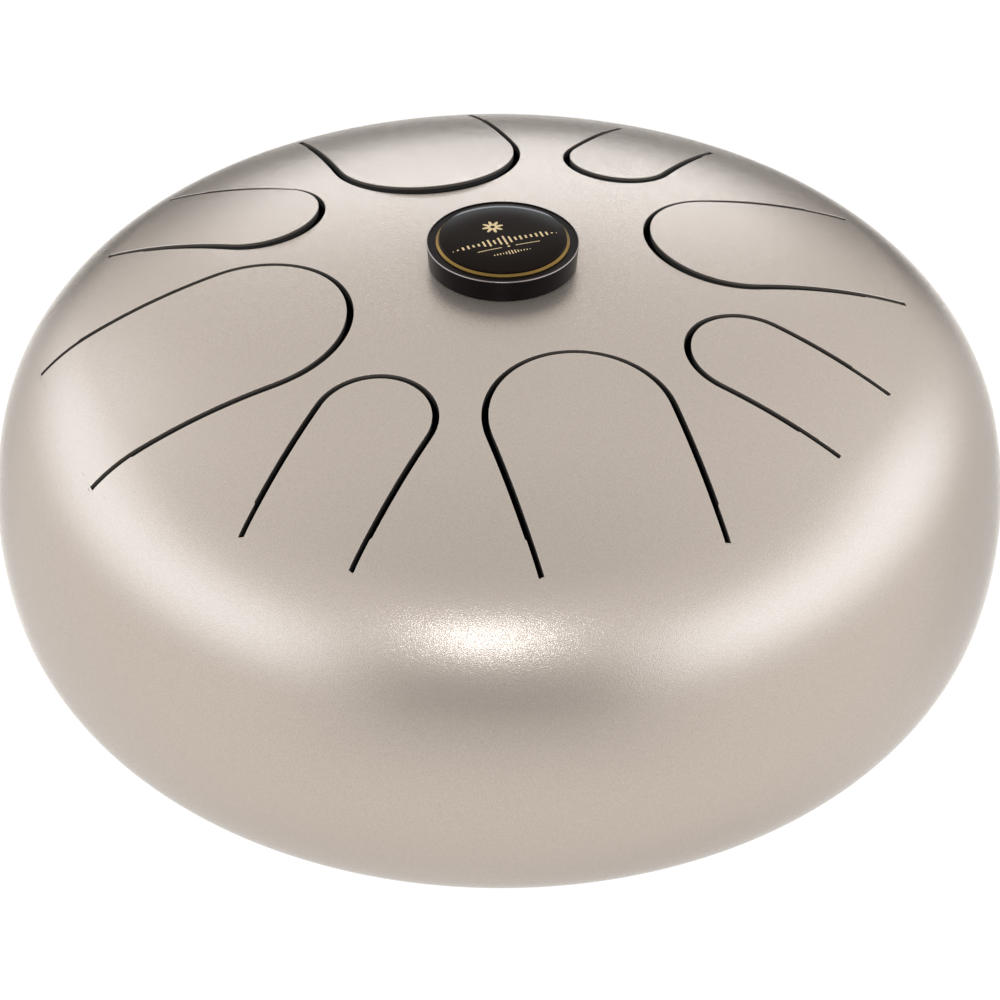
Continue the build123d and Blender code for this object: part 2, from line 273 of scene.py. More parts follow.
def rounded(corners):
    """Outline of (radius, height) points through corners, and its normals. A corner is its radius,
    its height and the radius of the arc that rounds it.

    An arc of radius r leaves each run r * tan(turn / 2) short of the corner, and its normals turn
    from one run's to the next. The normals point to the right of the way along, and the two ends
    stay as they are.
    """
    corners, radii = np.array(corners, float)[:, :2], [corner[2] for corner in corners[1:-1]]
    runs = unit(np.diff(corners, axis=0))
    rights = np.stack([runs[:, 1], -runs[:, 0]], axis=-1)
    points, facing = [corners[0]], [rights[0]]
    for corner, radius, before, after in zip(corners[1:-1], radii, rights[:-1], rights[1:]):
        turn = np.arctan2(np.cross(before, after), before @ after)
        bend = np.linspace(0, turn, CORNER_STEPS + 1)
        cosine, sine = np.cos(bend), np.sin(bend)
        normals = [before[0] * cosine - before[1] * sine, before[0] * sine + before[1] * cosine]
        normals = np.stack(normals, axis=-1)
        side = np.sign(turn) * radius
        centre = corner - side * (before + after) / (1 + before @ after)
        points.extend(centre + side * normals)
        facing.extend(normals)
    points.append(corners[-1])
    facing.append(rights[-1])
    return np.array(points), np.array(facing)


def dish_band(skin, start, end, depth, side, steps, angles):
    """Part of a dish's outer or inner face between two slopes, turned round the drum's axis."""
    slopes = np.linspace(start, end, steps + 1)
    radius, height = on_dish(slopes, depth)
    outline = np.stack([radius, WIDEST + side * height], axis=-1)
    facing = np.stack([np.cos(slopes), side * np.sin(slopes)], axis=-1)
    inside = depth > 0
    # an inner face gets the near-black painted shade
    lathe(skin, outline, -facing if inside else facing, angles, slot=2 * inside)


def rim(skin, side, angles):
    """The edge of a shell: half of the V groove for the weld, then the land up to the inner face."""
    radius, height = on_dish(weld_slope())
    apex = (DRUM_RADIUS - WELD_DEPTH, WIDEST)
    groove = np.array([(radius, WIDEST + side * height), apex])
    lathe(skin, groove, np.array([(1, -side)] * 2) / np.sqrt(2), angles)
    land = np.array([apex, (DRUM_RADIUS - WALL, WIDEST)])
    lathe(skin, land, np.array([(0, -side)] * 2, float), angles)


def weld_slope():
    """Slope of the normal where the V groove meets the outer face. The groove rises at 45 degrees,
    so RIM_ARC times (1 - cosine + sine of that slope) is WELD_DEPTH."""
    return np.pi / 4 - np.arcsin((1 - WELD_DEPTH / RIM_ARC) / np.sqrt(2))


# ---------------------------------------------------------------------------------------- slots


def azimuth(number):
    return np.radians(FIRST_AZIMUTH + AZIMUTH_STEP * number)


def axes(number):
    """Unit plan vectors along a tongue and across it."""
    turn = azimuth(number)
    return np.array([(np.sin(turn), -np.cos(turn)), (np.cos(turn), np.sin(turn))])


def nose_centre(tongue):
    return tongue.nose + SLOT + tongue.width / 2


def seam(tongue):
    """Where the slots' rounded ends begin, and so where the tongue's piece meets the shell's."""
    return tongue.root - END_ROUND


def both_sides(tongue, points, facing):
    """A half outline from the nose's tip to the root, with its mirror image put before it."""
    mirror = np.array([1, -1])
    outline = np.concatenate([points[:0:-1] * mirror, points]) + np.array([0, tongue.side])
    return outline, np.concatenate([facing[:0:-1] * mirror, facing])


def around_nose(radius, angles, centre):
    """Arc round the nose's centre. Angle 0 is its tip, nearest to the drum's axis."""
    facing = np.stack([-np.cos(angles), np.sin(angles)], axis=-1)
    return np.array([centre, 0]) + radius * facing, facing


def nose_angles():
    tip = np.linspace(0, TIP_ANGLE, TIP_STEPS + 1)
    side = np.linspace(TIP_ANGLE, np.pi / 2, SIDE_STEPS[0] + 1)
    return np.concatenate([tip, side[1:]])


def slot_outer_edge(tongue):
    """Outer edge of a slot in the tongue's plan, from root to root round the nose, and its normals
    into the shell.

    An arc round the nose, a side whose distance from the tongue steps from SLOT to TUNING_CUT as
    3t^2 - 2t^3 over STEP_LENGTH, and a square end with rounded corners.
    """
    centre, half, end = nose_centre(tongue), tongue.width / 2, seam(tongue)
    nose = around_nose(half + SLOT, nose_angles(), centre)
    step = (tongue.cut - STEP_LENGTH / 2, tongue.cut + STEP_LENGTH / 2)
    stops = (centre, *step, end)
    runs = zip(stops, stops[1:], SIDE_STEPS[1:4])
    along = np.concatenate([np.linspace(start, end, count + 1)[1:] for start, end, count in runs])
    t = np.clip((along - step[0]) / STEP_LENGTH, 0, 1)
    narrowing = SLOT - TUNING_CUT
    across = half + SLOT - narrowing * (3 * t**2 - 2 * t**3)
    slant = narrowing * 6 * t * (1 - t) / STEP_LENGTH
    side = np.stack([along, across], -1), unit(np.stack([slant, np.ones_like(slant)], -1))
    turn = np.linspace(np.pi / 2, 0, SIDE_STEPS[4] // 2 + 1)
    bend = np.concatenate([turn[1:], -turn[::-1]])
    facing = np.stack([np.cos(bend), np.sin(bend)], axis=-1)
    corner = np.repeat([half + TUNING_CUT - END_ROUND, half + END_ROUND], (len(turn) - 1, len(turn)))
    finish = np.stack([np.full_like(bend, end), corner], -1) + END_ROUND * facing, facing
    return both_sides(tongue, *(np.concatenate(parts) for parts in zip(nose, side, finish)))


def tongue_edge(tongue):
    """Edge of a tongue in its plan, from root to root round the nose, and its outward normals."""
    nose = around_nose(tongue.width / 2, nose_angles(), nose_centre(tongue))
    along = np.linspace(nose_centre(tongue), seam(tongue), sum(SIDE_STEPS[1:4]) + 1)[1:]
    side = np.stack([along, np.full_like(along, tongue.width / 2)], -1)
    facing = np.concatenate([nose[1], [(0.0, 1.0)] * len(side)])
    return both_sides(tongue, np.concatenate([nose[0], side]), facing)


def seam_line(tongue):
    """Plan points across a tongue's root between its rounded edges, from its far side to its near."""
    half = tongue.width / 2 - EDGE_ROUND
    across = tongue.side + np.linspace(half, -half, 2 * TIP_STEPS + 1)
    return np.stack([np.full_like(across, seam(tongue)), across], axis=-1)


def cut_edge(skin, edge, inwards, turn, rise=None):
    """The rounded and upright faces of a cut: a quarter circle from the outer face down into the
    cut, an upright wall, and a quarter circle to the inner face. The wall's top SHADE_START_DEPTH is
    painted shade in dark brown, and the rest of the wall and the inner round are painted shade in near
    black. inwards points into the metal."""
    bend = np.linspace(0, np.pi / 2, ROUND_STEPS + 1)[:, None, None]
    plan = (edge + inwards * EDGE_ROUND * (1 - np.sin(bend))) @ turn
    away = np.concatenate([-inwards @ turn, np.zeros((len(edge), 1))], axis=-1)
    points, normals = [], []
    for depth, up in ((0.0, 1), (WALL, -1)):
        face, facing = sheet(plan, depth, rise)
        face[..., 2] -= up * EDGE_ROUND * (1 - np.cos(bend[..., 0]))
        points.append(face[::up])
        normals.append(unit(up * np.cos(bend) * facing + np.sin(bend) * away)[::up])
    points, normals = np.concatenate(points), np.concatenate(normals)
    top, bottom = ROUND_STEPS, ROUND_STEPS + 1
    wall = at_shade_start(points[top], points[bottom])
    facing = np.broadcast_to(away, wall.shape)
    skin.grid(points[:bottom], normals[:bottom])
    # painted shade: the wall's top band is dark brown, and the rest of the wall and the inner round are near
    # black
    skin.grid(wall[:2], facing[:2], slot=1)
    skin.grid(wall[1:], facing[1:], slot=2)
    skin.grid(points[bottom:], normals[bottom:], slot=2)
    return points


def at_shade_start(top, bottom):
    """Top and bottom of a cut's upright wall with, between them, the line where its painted shade turns from
    dark brown to near black.
    """
    share = SHADE_START_DEPTH / (WALL - 2 * EDGE_ROUND)
    return np.stack([top, top * (1 - share) + bottom * share, bottom])


def seam_cap(skin, cut, tongue, turn, side):
    """Closes a piece across the root: a band from the outer face's line to the inner face's.

    cut is the grid of cut_edge, whose end columns give the band's rounded ends. side is 1 where the
    band faces outwards, on the tongue, and -1 where it faces the tongue, on the shell.
    """
    line = seam_line(tongue)[1:-1] @ turn
    last = ROUND_STEPS
    top = [cut[last::-1, -1], sheet(line)[0], cut[: last + 1, 0]]
    bottom = [cut[last + 1 :, -1], sheet(line, WALL)[0], cut[:last:-1, 0]]
    band = at_shade_start(np.concatenate(top), np.concatenate(bottom))
    outwards = np.append(turn[0] * side, 0)
    skin.grid(band, np.broadcast_to(outwards, band.shape))


# ---------------------------------------------------------------------------------------- shells


def sector_edges():
    """Azimuths of the radial lines between slots, each in the middle of its gap. Line n comes before
    tongue n, and half is the angle that a slot takes up on each side of its tongue."""
    half = np.array([np.arcsin((t.width / 2 + SLOT) / nose_centre(t)) for t in TONGUES])
    middle = azimuth(np.arange(len(TONGUES)))
    before = np.roll(middle + half, 1)
    before[0] -= 2 * np.pi
    edges = (before + middle - half) / 2
    return np.append(edges, edges[0] + 2 * np.pi)


def sector_angles(number):
    start, end = sector_edges()[number : number + 2]
    return np.linspace(start, end, 2 * TIP_STEPS + 1)


def circle_angles():
    """The azimuths of every sector's columns, once round."""
    return np.concatenate([sector_angles(number)[:-1] for number in range(len(TONGUES))])


def polar(radius, angle):
    return np.stack([radius * np.sin(angle), -radius * np.cos(angle)], axis=-1)


def side_radii():
    """Distances from the axis of the points on a radial line between slots."""
    runs = zip(SIDE_RADII, SIDE_RADII[1:], SIDE_STEPS)
    steps = [np.linspace(start, end, count + 1)[1:] for start, end, count in runs]
    return np.concatenate([[INNER_CIRCLE], *steps])


def sector(skin, number):
    """The shell round one slot: rings of points that go straight, in plan, from the slot's edge and
    root to the inner circle, the two radial lines and the outer circle."""
    tongue, turn, angles = TONGUES[number], axes(number), sector_angles(number)
    edge, facing = slot_outer_edge(tongue)
    cut = cut_edge(skin, edge, facing, turn)
    near = np.concatenate([(edge + facing * EDGE_ROUND) @ turn, seam_line(tongue)[1:-1] @ turn])
    radii = side_radii()
    far = np.concatenate(
        [
            polar(radii[::-1], angles[0]),
            polar(INNER_CIRCLE, angles[1:-1]),
            polar(radii, angles[-1]),
            polar(OUTER_CIRCLE, angles[-2:0:-1]),
        ]
    )
    for depth, count in ((0.0, SECTOR_RINGS), (WALL, INNER_SECTOR_RINGS)):
        share = np.linspace(0, 1, count + 1)[:, None, None]
        points, normals = sheet(near * (1 - share) + far * share, depth)
        inside = depth > 0
        # the inner face gets the near-black painted shade
        skin.grid(points, -normals if inside else normals, closed=True, slot=2 * inside)
    seam_cap(skin, cut, tongue, turn, -1)


def make_upper_shell():
    skin, angles = Skin(), circle_angles()
    for number in range(len(TONGUES)):
        sector(skin, number)
    for depth in (0.0, WALL):
        disc = polar(np.linspace(0, INNER_CIRCLE, DISC_RINGS + 1)[:, None], angles)
        points, normals = sheet(disc, depth)
        inside = depth > 0
        # the inner face gets the near-black painted shade
        skin.grid(points, -normals if inside else normals, closed=True, slot=2 * inside)
    dish_band(skin, slope_at(OUTER_CIRCLE), weld_slope(), 0.0, 1, UPPER_BAND, angles)
    dish_band(skin, slope_at(OUTER_CIRCLE, WALL), 0.0, WALL, 1, UPPER_INNER_BAND, angles)
    rim(skin, 1, angles)
    return skin.piece("upper_shell_skin")


def make_lower_shell():
    """The same dish upside down, with a round sound port whose edge is rounded."""
    skin, angles = Skin(), circle_angles()
    mouth = PORT_RADIUS + EDGE_ROUND
    faces = [(slope_at(mouth, depth), depth) for depth in (0.0, WALL)]
    dish_band(skin, faces[0][0], weld_slope(), 0.0, -1, LOWER_BAND, angles)
    dish_band(skin, faces[1][0], 0.0, WALL, -1, LOWER_INNER_BAND, angles)
    rim(skin, -1, angles)
    bend = np.linspace(0, np.pi / 2, ROUND_STEPS + 1)
    radius = PORT_RADIUS + EDGE_ROUND * (1 - np.sin(bend))
    outline, facing = [], []
    for depth, up in ((0.0, 1), (WALL, -1)):
        slope = slope_at(radius, depth)
        height = WIDEST - on_dish(slope, depth)[1] + up * EDGE_ROUND * (1 - np.cos(bend))
        lean = up * np.cos(bend)
        normals = np.stack([lean * np.cos(slope) - np.sin(bend), -lean * np.sin(slope)], axis=-1)
        outline.append(np.stack([radius, height], axis=-1)[::up])
        facing.append(unit(normals)[::up])
    lathe(skin, np.concatenate(outline), np.concatenate(facing), angles)
    return skin.piece("lower_shell_skin")


def make_seam_weld():
    """The weld ground flush: the rim's own arc between the two edges of the groove, and the V."""
    skin, angles = Skin(), circle_angles()
    slopes = np.linspace(weld_slope(), -weld_slope(), WELD_BAND + 1)
    bulge = DRUM_RADIUS - RIM_ARC
    face = np.stack([bulge + RIM_ARC * np.cos(slopes), WIDEST + RIM_ARC * np.sin(slopes)], axis=-1)
    lathe(skin, face, np.stack([np.cos(slopes), np.sin(slopes)], axis=-1), angles)
    apex = np.array([DRUM_RADIUS - WELD_DEPTH, WIDEST])
    for end, side in ((face[0], 1), (face[-1], -1)):
        flank = np.array([(-1, side)] * 2) / np.sqrt(2)
        lathe(skin, np.array([end, apex]), flank, angles)
    return skin.piece("seam_weld_skin")


def make_tongue(number):
    """A tongue: rings of points that go straight, in plan, from its rounded edge to its own middle
    line. It bends up from its root, by lift times the square of the share of its length."""
    skin, tongue, turn = Skin(), TONGUES[number], axes(number)
    root, length = seam(tongue), seam(tongue) - tongue.nose - SLOT

    def rise(plan):
        share = np.clip(root - plan @ turn[0], 0, None) / length
        return tongue.lift * share**2, (-2 * tongue.lift * share / length)[..., None] * turn[0]

    edge, facing = tongue_edge(tongue)
    cut = cut_edge(skin, edge, -facing, turn, rise)
    near = edge - facing * EDGE_ROUND
    along = np.clip(near[:, 0], nose_centre(tongue), root)
    middle = np.stack([along, np.full(len(near), tongue.side)], axis=-1)
    share = np.linspace(0, 1, TIP_STEPS + 1)[:, None, None]
    for depth in (0.0, WALL):
        points, normals = sheet((near * (1 - share) + middle * share) @ turn, depth, rise)
        inside = depth > 0
        # the tongue's inner face gets the near-black painted shade
        skin.grid(points, -normals if inside else normals, slot=2 * inside)
    seam_cap(skin, cut, tongue, turn, 1)
    return skin.piece(f"tongue_{number + 1}_skin")


# ---------------------------------------------------------------------------------------- badge


def badge_piece(name, corners, tail=None, bright=None):
    """A turned part of the badge, from the corners of its section.

    tail is more outline after the corners, with its normals. bright is the number of a rounded
    corner, from 0, that gets the piece's second material, a painted highlight.
    """
    skin, angles = Skin(), np.linspace(0, 2 * np.pi, BADGE_STEPS + 1)[:-1]
    outline, facing = rounded(corners)
    if tail is not None:
        outline = np.concatenate([outline, tail[0]])
        facing = np.concatenate([facing, tail[1]])
    outline = outline + np.array([0, CROWN])
    stops = [0, len(outline) - 1]
    if bright is not None:
        start = 1 + bright * (CORNER_STEPS + 1)
        stops = [0, start, start + CORNER_STEPS, len(outline) - 1]
    for number, (start, end) in enumerate(zip(stops, stops[1:])):
        part = slice(start, end + 1)
        lathe(skin, outline[part], facing[part], angles, BADGE_OFFSET, slot=number % 2)
    return skin.piece(name)


def make_badge_cup():
    """Room for the pad below, a tapered wall whose rounded top edge carries a painted highlight, a
    ledge inside its lip, and the pocket for the ring, the plate and the resin."""
    lip_inner = CUP_RADIUS - LIP
    ledge = CUP_TOP - LEDGE_DROP
    corners = (
        (0, PAD_TOP, 0),
        (PAD_ROOM_RADIUS, PAD_TOP, 0.05),
        (PAD_ROOM_RADIUS, CUP_FOOT, 0.05),
        (CUP_FOOT_RADIUS, CUP_FOOT, 0.15),
        (CUP_RADIUS, CUP_TOP, CUP_EDGE),
        (lip_inner, CUP_TOP, 0.12),
        (lip_inner, ledge, 0.08),
        (POCKET_RADIUS, ledge, 0.1),
        (POCKET_RADIUS, POCKET_FLOOR, 0.05),
        (0, POCKET_FLOOR, 0),
    )
    # corner 3, the rounded top edge, gets the painted highlight
    return badge_piece("badge_cup_skin", corners, bright=3)


def make_badge_ring():
    """Its top falls outwards."""
    middle = (POCKET_RADIUS + RING_INNER) / 2
    corners = (
        (middle, POCKET_FLOOR, 0),
        (POCKET_RADIUS, POCKET_FLOOR, 0.05),
        (POCKET_RADIUS, RING_TOP - RING_FALL, 0.08),
        (RING_INNER, RING_TOP, 0.08),
        (RING_INNER, POCKET_FLOOR, 0.05),
        (middle, POCKET_FLOOR, 0),
    )
    return badge_piece("badge_ring_skin", corners)


def make_badge_dome():
    """Resin poured on the plate: a straight side, a rounded shoulder, and a face that falls by the
    fourth power of the share of its radius, to the slope DOME_TILT at its edge."""
    radius = RING_INNER - DOME_SHOULDER * (1 - np.sin(DOME_TILT))
    share = np.linspace(1, 0, DOME_RINGS + 1)
    face = np.stack([radius * share, DOME_TOP - radius * np.tan(DOME_TILT) / 4 * share**4], axis=-1)
    slope = np.tan(DOME_TILT) * share**3
    facing = unit(np.stack([slope, np.ones_like(slope)], axis=-1))
    bend = np.linspace(np.pi / 2, DOME_TILT, SHOULDER_STEPS + 1)[:-1]
    turn = np.stack([np.sin(bend), np.cos(bend)], axis=-1)
    shoulder = face[0] + DOME_SHOULDER * (turn - facing[0])
    corners = ((0, PLATE_TOP, 0), (RING_INNER, PLATE_TOP, 0.05), (RING_INNER, shoulder[0, 1], 0))
    tail = np.concatenate([shoulder, face]), np.concatenate([turn, facing])
    return badge_piece("badge_dome_skin", corners, tail)


# ---------------------------------------------------------------------------------------- materials


class Value:
    """A node's output. Arithmetic on it adds Math nodes, so shader maths reads as a sum."""

    def __init__(self, tree, socket=None):
        self.tree, self.socket = tree, socket

    def add(self, kind, settings=None, sockets=None, output=0):
        """Adds any node: its settings first, then numbers, colours or links for its sockets."""
        node = self.tree.nodes.new(kind)
        for name, setting in (settings or {}).items():
            setattr(node, name, setting)
        for name, value in (sockets or {}).items():
            if isinstance(value, Value):
                self.tree.links.new(value.socket, node.inputs[name])
            else:
                node.inputs[name].default_value = value
        return Value(self.tree, node.outputs[output])

    def math(self, operation, *values):
        return self.add("ShaderNodeMath", {"operation": operation}, dict(enumerate(values)))

    def __add__(self, other):
        return self.math("ADD", self, other)

    def __radd__(self, other):
        return self.math("ADD", other, self)

    def __sub__(self, other):
        return self.math("SUBTRACT", self, other)

    def __rsub__(self, other):
        return self.math("SUBTRACT", other, self)

    def __mul__(self, other):
        return self.math("MULTIPLY", self, other)

    def __rmul__(self, other):
        return self.math("MULTIPLY", other, self)

    def __truediv__(self, other):
        return self.math("DIVIDE", self, other)

    def __pow__(self, other):
        return self.math("POWER", self, other)

    def __abs__(self):
        return self.math("ABSOLUTE", self)

    def __lt__(self, other):
        return self.math("LESS_THAN", self, other)

    def __gt__(self, other):
        return self.math("GREATER_THAN", self, other)

    def smooth(self, low, high):
        """0 below low, 1 above high, and a smooth step between them."""
        sockets = {"Value": self, "From Min": low, "From Max": high}
        return self.add("ShaderNodeMapRange", {"interpolation_type": "SMOOTHSTEP"}, sockets)

    def part(self, axis):
        """One of a vector's three numbers."""
        return self.add("ShaderNodeSeparateXYZ", sockets={"Vector": self}, output="XYZ".index(axis))

    def between(self, first, second):
        """A colour: first where this is 0, second where it is 1."""
        sockets = {"Factor": self, "A": first, "B": second}
        return self.add("ShaderNodeMix", {"data_type": "RGBA"}, sockets, output="Result")


def new_material(name, build=None, **sockets):
    """A Principled material. build gets an empty Value of its tree and gives sockets by name."""
    material = bpy.data.materials.new(name)
    material.use_nodes = True
    tree = material.node_tree
    shader = tree.nodes["Principled BSDF"]
    made = build(Value(tree)) if build else {}
    for socket, value in {**sockets, **made}.items():
        socket = socket.replace("_", " ")
        if isinstance(value, Value):
            tree.links.new(value.socket, shader.inputs[socket])
        else:
            shader.inputs[socket].default_value = value
    return material


def grey(value):
    return (value, value, value, 1)


# Metal flakes in the paint: how many fit in a metre, how far they stand out, in metres, and the share
# of the paint's brightness that they add or take
CHAMPAGNE = (0.504, 0.438, 0.390)
FLAKES, FLAKE_SPECKS = 3800.0, 3600.0
FLAKE_HEIGHT = 0.000045
FLAKE_CONTRAST = 0.07


def paint_flakes(base):
    """A grain of a quarter of a millimetre that tips the surface a little this way and that, and one
    that varies in brightness."""
    place = base.add("ShaderNodeTexCoord", output="Object")
    grain = base.add("ShaderNodeTexNoise", sockets={"Vector": place, "Scale": FLAKES, "Detail": 0.0})
    speck = base.add("ShaderNodeTexNoise", sockets={"Vector": place, "Scale": FLAKE_SPECKS, "Detail": 0.0})
    tipped = base.add("ShaderNodeBump", sockets={"Height": grain, "Strength": 1.0, "Distance": FLAKE_HEIGHT})
    darker, lighter = (
        (*(part * share for part in CHAMPAGNE), 1) for share in (1 - FLAKE_CONTRAST, 1 + FLAKE_CONTRAST)
    )
    return {"Normal": tipped, "Base Color": speck.smooth(0.3, 0.7).between(darker, lighter)}


# The badge's print, in millimetres across and up from PRINT_SHIFT to the right of its middle. Bars
# stand pitch apart and width wide, as far as reach to either side. The highest is tall above and
# below level
BLACK_INK = (0.0065, 0.0042, 0.0035, 1)
GOLD_INK = (0.62, 0.47, 0.27, 1)
PRINT_SHIFT = 0.5
Bars = namedtuple("Bars", "pitch width reach tall level")
SOUND_BARS = Bars(1.6, 0.6, 15.9, 2.5, -3.3)
SMALL_BARS = Bars(0.9, 0.34, 6.0, 1.0, -9.8)
ROSETTE_ACROSS, ROSETTE_UP = -1.0, 4.7
PETALS, PETAL_RADIUS, PETAL_SWING, EYE_RADIUS = 8, 2.3, 0.9, 0.7
RULE_LEVEL, RULE_START, RULE_END, RULE_WIDTH = -6.7, 2.1, 9.5, 0.28
DOT_RADIUS = 0.4


def badge_print(base):
    """Gold print under the resin: a row of sound bars, a rosette over it, and two rules with a dot
    and a row of smaller bars under it."""
    place = base.add("ShaderNodeTexCoord", output="Object")
    middle = (PRINT_SHIFT - BADGE_OFFSET * np.cos(BADGE_TURN), BADGE_OFFSET * np.sin(BADGE_TURN), 0)
    moves = {"Location": middle, "Rotation": (0, 0, -BADGE_TURN), "Scale": (1 / MM,) * 3}
    flat = base.add("ShaderNodeMapping", {"vector_type": "POINT"}, {"Vector": place, **moves})
    across, up = flat.part("X"), flat.part("Y")
    marks = (
        sound_bars(across, up, SOUND_BARS)
        + sound_bars(across, up, SMALL_BARS)
        + rosette(across - ROSETTE_ACROSS, up - ROSETTE_UP)
        + rules_and_dot(across, up - RULE_LEVEL)
    )
    return {"Base Color": base.math("MINIMUM", marks, 1).between(BLACK_INK, GOLD_INK)}


def sound_bars(across, up, bars):
    """Upright bars. Their heights follow the product of two cosines of their place across, and taper
    by the square of the share of reach."""
    step = across.math("ROUND", across / bars.pitch) * bars.pitch
    swing = abs(step.math("COSINE", step * 0.55) * step.math("COSINE", step * 0.21 + 0.3))
    height = bars.tall * (0.3 + 0.7 * swing) * (1 - (step / (bars.reach * 1.08)) ** 2)
    on_bar = abs(across - step) < bars.width / 2
    return on_bar * (abs(up - bars.level) < height) * (abs(across) < bars.reach)


def rosette(across, up):
    """Petals: the edge's radius swings with the cosine of PETALS times the angle. The eye is open."""
    distance = (across**2 + up**2) ** 0.5
    petals = up.math("COSINE", up.math("ARCTAN2", up, across) * PETALS)
    return (distance < PETAL_RADIUS + PETAL_SWING * petals) * (distance > EYE_RADIUS)


def rules_and_dot(across, up):
    rules = (abs(up) < RULE_WIDTH / 2) * (abs(across) < RULE_END) * (abs(across) > RULE_START)
    return rules + ((across**2 + up**2) ** 0.5 < DOT_RADIUS)


FINISHES = {
    "champagne_paint": dict(build=paint_flakes, Metallic=0.72, Roughness=0.25, Specular_Tint=grey(0.8)),
    # painted shade: dark brown on the top band of every cut wall, standing in for the dim light inside the
    # narrow slots
    "slot_wall_shade": dict(Base_Color=(0.085, 0.07, 0.06, 1), Roughness=0.6),
    # painted shade: near black on the inside of the shells and tongues and the lower part of every cut wall,
    # so that the slots read dark
    "painted_shade_black": dict(Base_Color=(0.015, 0.013, 0.012, 1), Roughness=0.8),
    "black_rubber": dict(Base_Color=grey(0.03), Roughness=0.7),
    "zinc_steel": dict(Base_Color=(0.62, 0.63, 0.65, 1), Metallic=1.0, Roughness=0.35),
    "black_foam": dict(Base_Color=grey(0.04), Roughness=0.95),
    "black_gloss": dict(
        Base_Color=(0.0065, 0.0048, 0.005, 1),
        Roughness=0.25,
        Specular_IOR_Level=0.07,
        Specular_Tint=(1.0, 0.82, 0.82, 1),
    ),
    # painted highlight: a light metal band on the cup's rounded top edge stands in for the highlight line
    # along that edge
    "painted_edge_highlight": dict(Base_Color=(0.32, 0.28, 0.27, 1), Metallic=1.0, Roughness=0.2),
    "gold_trim": dict(Base_Color=(0.24, 0.15, 0.045, 1), Metallic=1.0, Roughness=0.3),
    "black_print": dict(Base_Color=grey(0.02), Roughness=0.4),
    "printed_resin": dict(
        build=badge_print,
        Roughness=0.06,
        Specular_IOR_Level=0.06,
        Specular_Tint=(1.0, 0.8, 0.72, 1),
    ),
}


# ---------------------------------------------------------------------------------------- studio


# The camera stands 1.5 m away, in front and above. Places are in metres, lens and sensor in mm
CAMERA_PLACE, CAMERA_AIM = Vector((0, -1.18797, 0.91558)), Vector((0.000201, 0, 0.078602))
CAMERA_ROLL = np.radians(0.309)
CAMERA_LENS, SENSOR_WIDTH = 173.77, 36.0


def make_camera():
    data = bpy.data.cameras.new("camera")
    data.lens, data.sensor_width = CAMERA_LENS, SENSOR_WIDTH
    camera = bpy.data.objects.new("camera", data)
    bpy.context.scene.collection.objects.link(camera)
    look = (CAMERA_AIM - CAMERA_PLACE).to_track_quat("-Z", "Y").to_matrix().to_4x4()
    roll = Matrix.Rotation(CAMERA_ROLL, 4, "Z")
    camera.matrix_world = Matrix.Translation(CAMERA_PLACE) @ look @ roll
    bpy.context.scene.camera = camera


# Soft boxes, and dark and light gaps between them, all round the drum: bearing of the middle (0 is
# the front, 90 the right), half the width, lowest and highest edge and softness of the edges, all in
# degrees, and the light added
Patch = namedtuple("Patch", "bearing half low high edge light")
BOXES = (
    Patch(-91, 51, 4, 36, 9, 1.05),
    Patch(84, 46, 5, 36, 9, 1.18),
    Patch(180, 11, 12, 24, 6, 0.85),
    Patch(180, 14, 10.5, 13.5, 1.5, 5.5),
)
GAPS = (
    Patch(0, 27, -13, 24, 6, -0.54),
    Patch(0, 42, -30, -8, 8, -0.16),
    Patch(180, 26, -19, 4, 4, -0.95),
    Patch(180, 20, -42, -18, 4, 0.9),
    Patch(138, 26, -38, 0, 10, -0.25),
    Patch(-152, 14, -32, -4, 8, -0.25),
    Patch(180, 24, 34, 54, 8, -0.14),
    Patch(120, 50, -90, -54, 12, -0.07),
    Patch(0, 360, 66, 100, 12, -0.24),
    Patch(0, 360, -58, 0, 10, 0.08),
)
WARM_WHITE = (1.0, 0.99, 0.96, 1)
COOL_WHITE = (0.93, 1.0, 1.06, 1)
BACKDROP_GLOW = 1.02
FLOOR_HALF = 6.0


def make_world():
    """A white room for the camera. For everything else, an even white with the patches on it."""
    world = bpy.data.worlds.new("studio")
    world.use_nodes = True
    bpy.context.scene.world = world
    tree = world.node_tree
    tree.nodes.clear()
    base = Value(tree)
    way = base.add("ShaderNodeTexCoord", output="Generated")
    x, y, z = way.part("X"), way.part("Y"), way.part("Z")
    level = (x**2 + y**2 + 1e-6) ** 0.5
    up = base.math("ARCSINE", z) * (180 / np.pi)

    def light_of(patch):
        """The patch's light times a smooth mask from 0 to 1 at each edge. Its sides go by the cosine
        of the angle, seen from above, between the direction and the patch's bearing."""
        mask = up.smooth(patch.low - patch.edge, patch.low + patch.edge)
        mask = mask * (1 - up.smooth(patch.high - patch.edge, patch.high + patch.edge))
        if patch.half < 180:
            turn = np.radians(patch.bearing)
            toward = (x * np.sin(turn) - y * np.cos(turn)) / level
            sides = patch.half + patch.edge, max(patch.half - patch.edge, 0)
            mask = mask * toward.smooth(*np.cos(np.radians(sides)))
        return mask * patch.light

    boxes = sum(light_of(patch) for patch in BOXES)
    light = 1.0 + boxes + sum(light_of(patch) for patch in GAPS)
    seen = base.add("ShaderNodeLightPath", output="Is Camera Ray")
    colour = base.math("MINIMUM", boxes, 1).between(WARM_WHITE, COOL_WHITE)
    colour = seen.between(colour, grey(1.0))
    strength = light * (1 - seen) + seen * BACKDROP_GLOW
    shine = base.add("ShaderNodeBackground", sockets={"Color": colour, "Strength": strength})
    end = tree.nodes.new("ShaderNodeOutputWorld")
    tree.links.new(shine.socket, end.inputs["Surface"])


